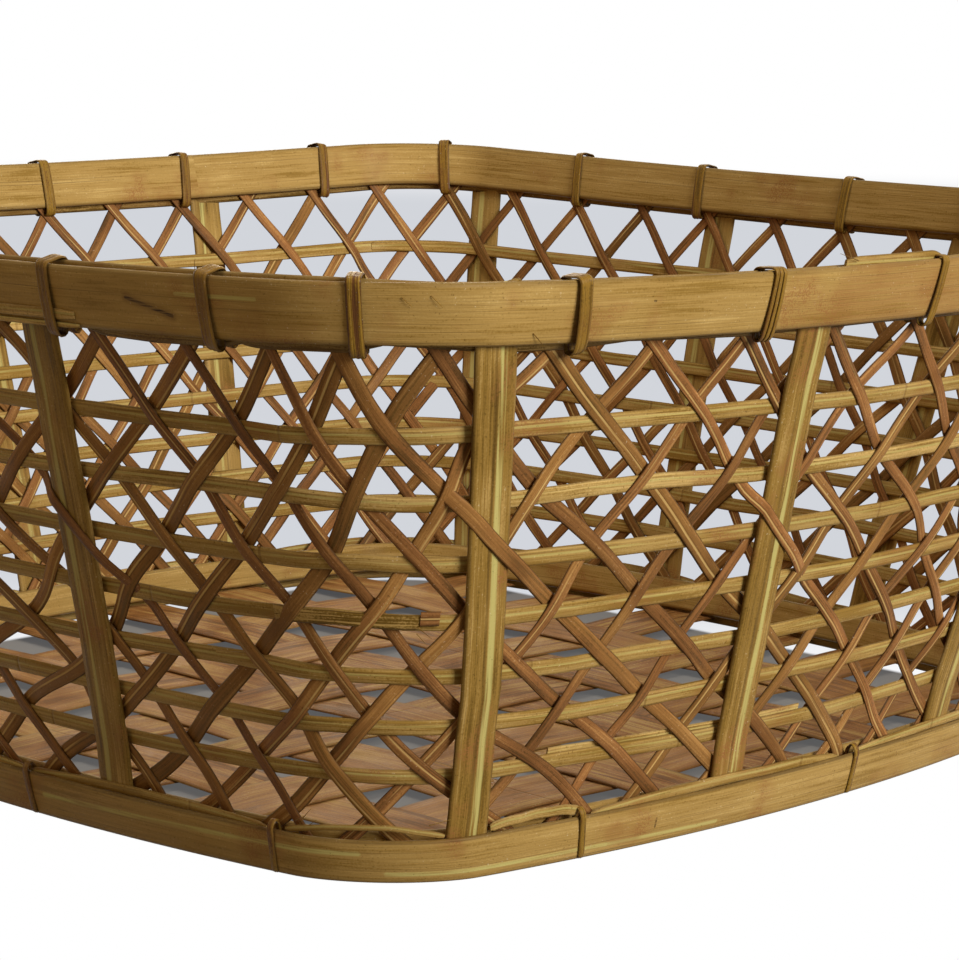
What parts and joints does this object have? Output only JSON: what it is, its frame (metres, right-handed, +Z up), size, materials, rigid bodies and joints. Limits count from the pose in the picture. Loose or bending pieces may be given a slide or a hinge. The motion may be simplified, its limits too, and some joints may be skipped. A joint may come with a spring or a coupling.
{
  "type": "rattan basket",
  "caption": "Square open-weave rattan basket with flared sides, a three-way woven wall, upright stakes, a lashed rim band and a flat woven floor.",
  "frame": {"origin": "on the ground under the middle of the basket", "axes": "+Z up, +X to the right along the slightly longer side, -Y out of the front side"},
  "size_m": [0.4775, 0.4696, 0.184],
  "materials": {
    "rim_outer_hoop_cane": "satin split cane",
    "rim_inner_hoop_cane": "satin split cane",
    "base_outer_hoop_cane": "satin split cane",
    "base_inner_hoop_cane": "satin split cane",
    "floor_weave_cane": "satin split cane",
    "weaver_row_1_cane": "satin split cane",
    "weaver_row_2_cane": "satin split cane",
    "weaver_row_3_cane": "satin split cane",
    "weaver_row_4_cane": "satin split cane",
    "weaver_row_5_cane": "satin split cane",
    "weaver_row_6_cane": "satin split cane",
    "weaver_row_7_cane": "satin split cane",
    "front_left_splints_cane": "satin split cane",
    "front_right_splints_cane": "satin split cane",
    "right_front_splints_cane": "satin split cane",
    "right_back_splints_cane": "satin split cane",
    "back_right_splints_cane": "satin split cane",
    "back_left_splints_cane": "satin split cane",
    "left_back_splints_cane": "satin split cane",
    "left_front_splints_cane": "satin split cane",
    "stake_01_cane": "satin split cane",
    "stake_02_cane": "satin split cane",
    "stake_03_cane": "satin split cane",
    "stake_04_cane": "satin split cane",
    "stake_05_cane": "satin split cane",
    "stake_06_cane": "satin split cane",
    "stake_07_cane": "satin split cane",
    "stake_08_cane": "satin split cane",
    "stake_09_cane": "satin split cane",
    "stake_10_cane": "satin split cane",
    "stake_11_cane": "satin split cane",
    "stake_12_cane": "satin split cane",
    "stake_13_cane": "satin split cane",
    "rim_lashing_01_cane": "satin split cane",
    "rim_lashing_02_cane": "satin split cane",
    "rim_lashing_03_cane": "satin split cane",
    "rim_lashing_04_cane": "satin split cane",
    "rim_lashing_05_cane": "satin split cane",
    "rim_lashing_06_cane": "satin split cane",
    "rim_lashing_07_cane": "satin split cane",
    "rim_lashing_08_cane": "satin split cane",
    "rim_lashing_09_cane": "satin split cane",
    "rim_lashing_10_cane": "satin split cane",
    "rim_lashing_11_cane": "satin split cane",
    "rim_lashing_12_cane": "satin split cane",
    "rim_lashing_13_cane": "satin split cane",
    "rim_lashing_14_cane": "satin split cane",
    "rim_lashing_15_cane": "satin split cane",
    "rim_lashing_16_cane": "satin split cane",
    "rim_lashing_17_cane": "satin split cane",
    "rim_lashing_18_cane": "satin split cane",
    "rim_lashing_19_cane": "satin split cane",
    "rim_lashing_20_cane": "satin split cane",
    "rim_lashing_21_cane": "satin split cane",
    "rim_lashing_22_cane": "satin split cane",
    "rim_lashing_23_cane": "satin split cane",
    "rim_lashing_24_cane": "satin split cane",
    "rim_lashing_25_cane": "satin split cane"
  },
  "bodies": {
    "root": {"rim_outer_hoop": "rim_outer_hoop_cane", "rim_inner_hoop": "rim_inner_hoop_cane", "base_outer_hoop": "base_outer_hoop_cane", "base_inner_hoop": "base_inner_hoop_cane", "floor_weave": "floor_weave_cane", "weaver_row_1": "weaver_row_1_cane", "weaver_row_2": "weaver_row_2_cane", "weaver_row_3": "weaver_row_3_cane", "weaver_row_4": "weaver_row_4_cane", "weaver_row_5": "weaver_row_5_cane", "weaver_row_6": "weaver_row_6_cane", "weaver_row_7": "weaver_row_7_cane", "front_left_splints": "front_left_splints_cane", "front_right_splints": "front_right_splints_cane", "right_front_splints": "right_front_splints_cane", "right_back_splints": "right_back_splints_cane", "back_right_splints": "back_right_splints_cane", "back_left_splints": "back_left_splints_cane", "left_back_splints": "left_back_splints_cane", "left_front_splints": "left_front_splints_cane", "stake_01": "stake_01_cane", "stake_02": "stake_02_cane", "stake_03": "stake_03_cane", "stake_04": "stake_04_cane", "stake_05": "stake_05_cane", "stake_06": "stake_06_cane", "stake_07": "stake_07_cane", "stake_08": "stake_08_cane", "stake_09": "stake_09_cane", "stake_10": "stake_10_cane", "stake_11": "stake_11_cane", "stake_12": "stake_12_cane", "stake_13": "stake_13_cane", "rim_lashing_01": "rim_lashing_01_cane", "rim_lashing_02": "rim_lashing_02_cane", "rim_lashing_03": "rim_lashing_03_cane", "rim_lashing_04": "rim_lashing_04_cane", "rim_lashing_05": "rim_lashing_05_cane", "rim_lashing_06": "rim_lashing_06_cane", "rim_lashing_07": "rim_lashing_07_cane", "rim_lashing_08": "rim_lashing_08_cane", "rim_lashing_09": "rim_lashing_09_cane", "rim_lashing_10": "rim_lashing_10_cane", "rim_lashing_11": "rim_lashing_11_cane", "rim_lashing_12": "rim_lashing_12_cane", "rim_lashing_13": "rim_lashing_13_cane", "rim_lashing_14": "rim_lashing_14_cane", "rim_lashing_15": "rim_lashing_15_cane", "rim_lashing_16": "rim_lashing_16_cane", "rim_lashing_17": "rim_lashing_17_cane", "rim_lashing_18": "rim_lashing_18_cane", "rim_lashing_19": "rim_lashing_19_cane", "rim_lashing_20": "rim_lashing_20_cane", "rim_lashing_21": "rim_lashing_21_cane", "rim_lashing_22": "rim_lashing_22_cane", "rim_lashing_23": "rim_lashing_23_cane", "rim_lashing_24": "rim_lashing_24_cane", "rim_lashing_25": "rim_lashing_25_cane"}
  },
  "joints": []
}
